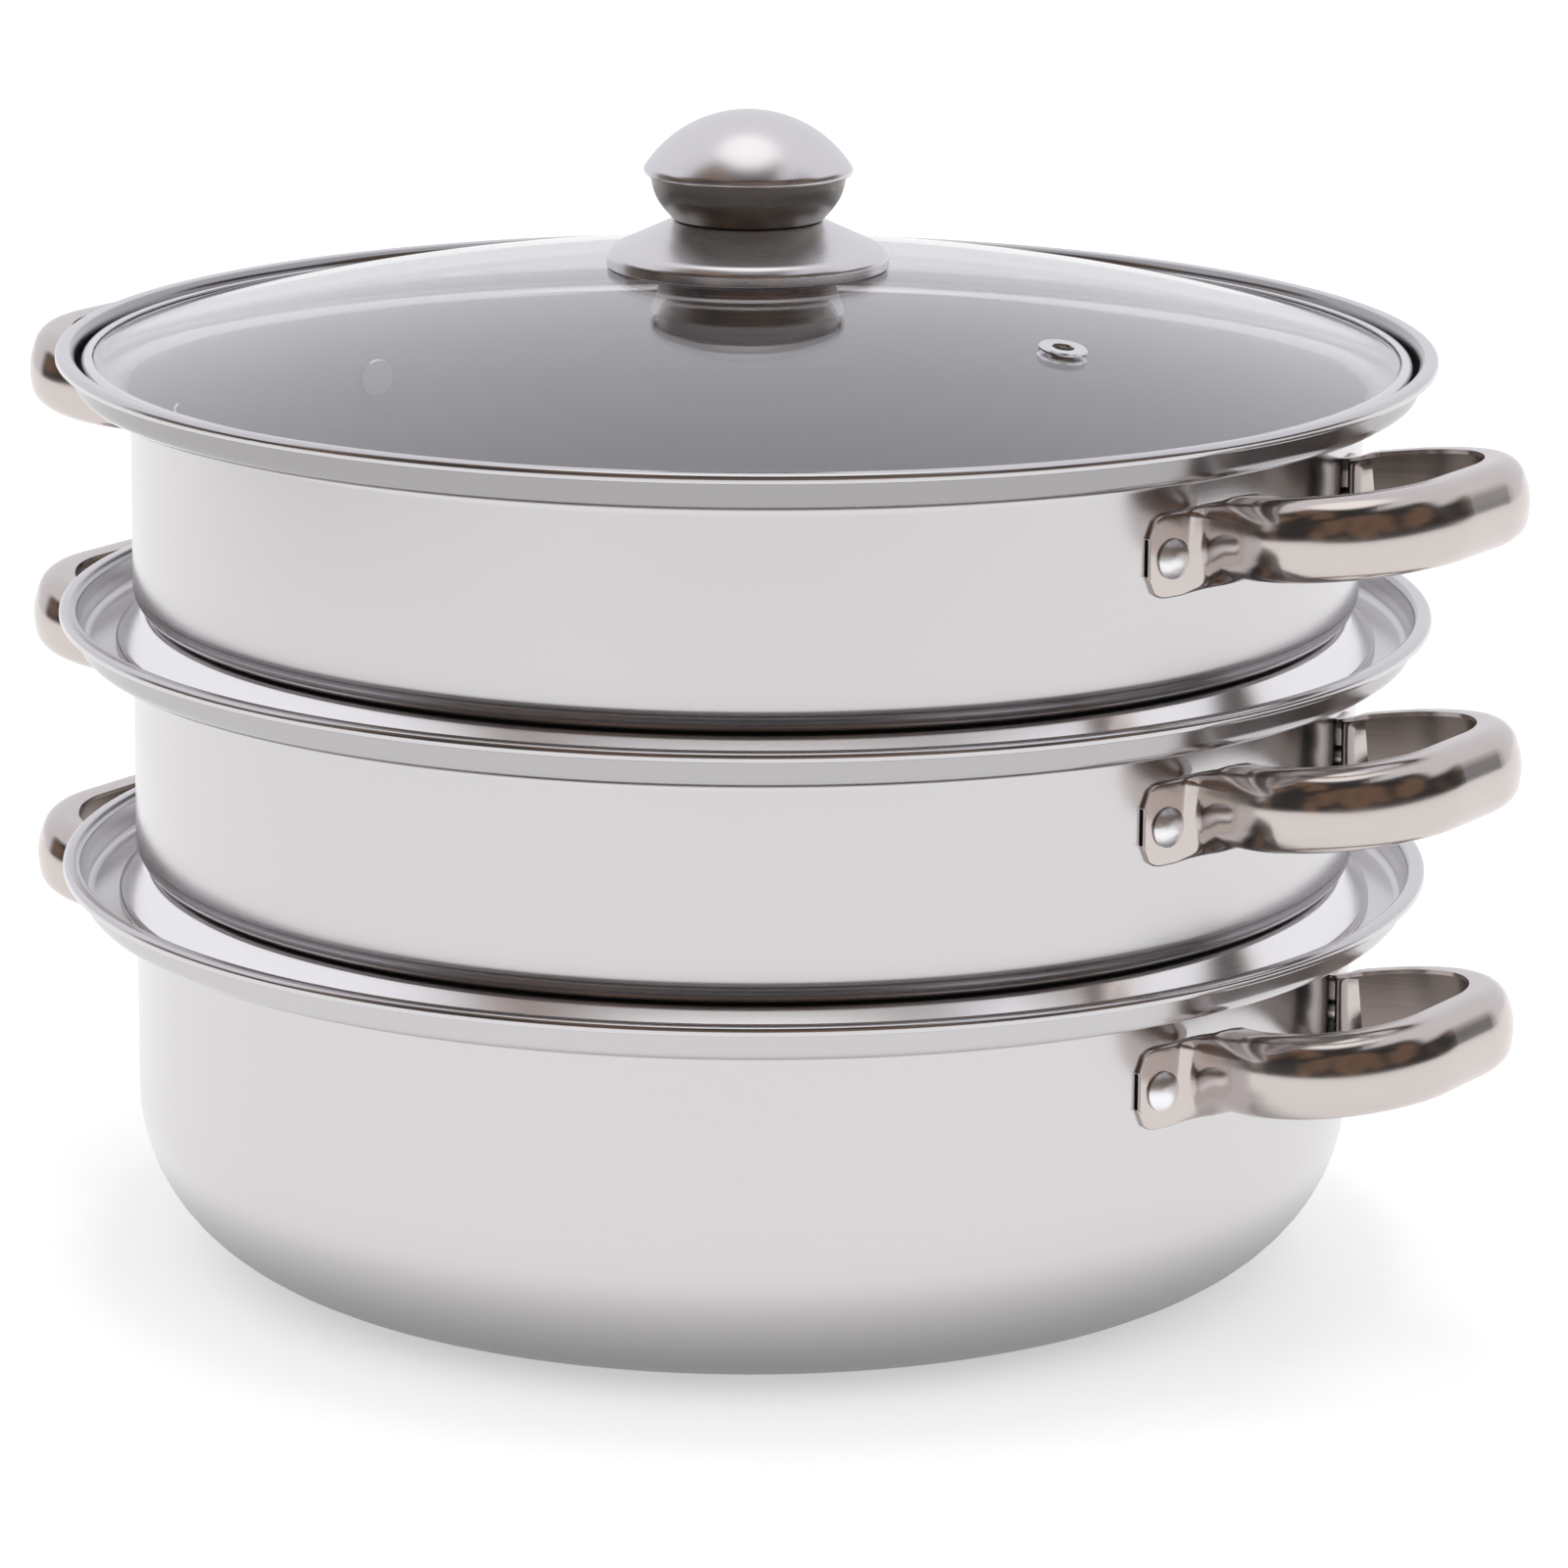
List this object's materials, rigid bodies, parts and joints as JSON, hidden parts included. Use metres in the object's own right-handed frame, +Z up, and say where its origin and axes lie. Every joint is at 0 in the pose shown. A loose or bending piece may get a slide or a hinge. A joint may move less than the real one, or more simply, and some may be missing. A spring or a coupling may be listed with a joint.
{
  "type": "steamer pot",
  "caption": "Three-tier stainless steel steamer pot: a stock pot, two perforated steamer tiers with riveted side handles, and a domed glass lid with a mushroom knob.",
  "frame": {"origin": "centre of the pot's base, on the surface it stands on", "axes": "+Z up along the axis of the stack, +X towards the right-hand handles, +Y towards the back"},
  "size_m": [0.3818, 0.3136, 0.2646],
  "materials": {
    "steel": "satin",
    "handle_steel": "satin",
    "rivet_steel": "polished",
    "bright_steel": "polished",
    "glass": "polished",
    "silicone": "matte",
    "spacer_plastic": "matte"
  },
  "bodies": {
    "pot": {"pot_shell": "steel", "pot_handle_left_shell": "handle_steel", "pot_handle_left_liner": "handle_steel", "pot_handle_left_rivets": "rivet_steel", "pot_handle_right_shell": "handle_steel", "pot_handle_right_liner": "handle_steel", "pot_handle_right_rivets": "rivet_steel"},
    "middle_tier": {"middle_tier_shell": "steel", "middle_tier_foot_ring": "steel", "middle_tier_handle_left_shell": "handle_steel", "middle_tier_handle_left_liner": "handle_steel", "middle_tier_handle_left_rivets": "rivet_steel", "middle_tier_handle_right_shell": "handle_steel", "middle_tier_handle_right_liner": "handle_steel", "middle_tier_handle_right_rivets": "rivet_steel"},
    "top_tier": {"top_tier_shell": "steel", "top_tier_foot_ring": "steel", "top_tier_handle_left_shell": "handle_steel", "top_tier_handle_left_liner": "handle_steel", "top_tier_handle_left_rivets": "rivet_steel", "top_tier_handle_right_shell": "handle_steel", "top_tier_handle_right_liner": "handle_steel", "top_tier_handle_right_rivets": "rivet_steel"},
    "lid": {"lid_glass": "glass", "lid_rim_band": "bright_steel", "vent_eyelet": "bright_steel", "knob_cap": "bright_steel", "knob_cup": "bright_steel", "knob_skirt": "bright_steel", "knob_gasket": "silicone", "knob_spacer": "spacer_plastic", "knob_nut": "bright_steel", "knob_screw": "bright_steel", "screw_washer": "bright_steel", "screw_gasket": "silicone"}
  },
  "joints": [
    {"name": "middle_tier_lift", "type": "slide", "parent": "pot", "child": "middle_tier", "axis": [0, 0, 1], "range_m": [0, 0.1]},
    {"name": "top_tier_lift", "type": "slide", "parent": "middle_tier", "child": "top_tier", "axis": [0, 0, 1], "range_m": [0, 0.1]},
    {"name": "lid_lift", "type": "slide", "parent": "top_tier", "child": "lid", "axis": [0, 0, 1], "range_m": [0, 0.1]}
  ]
}
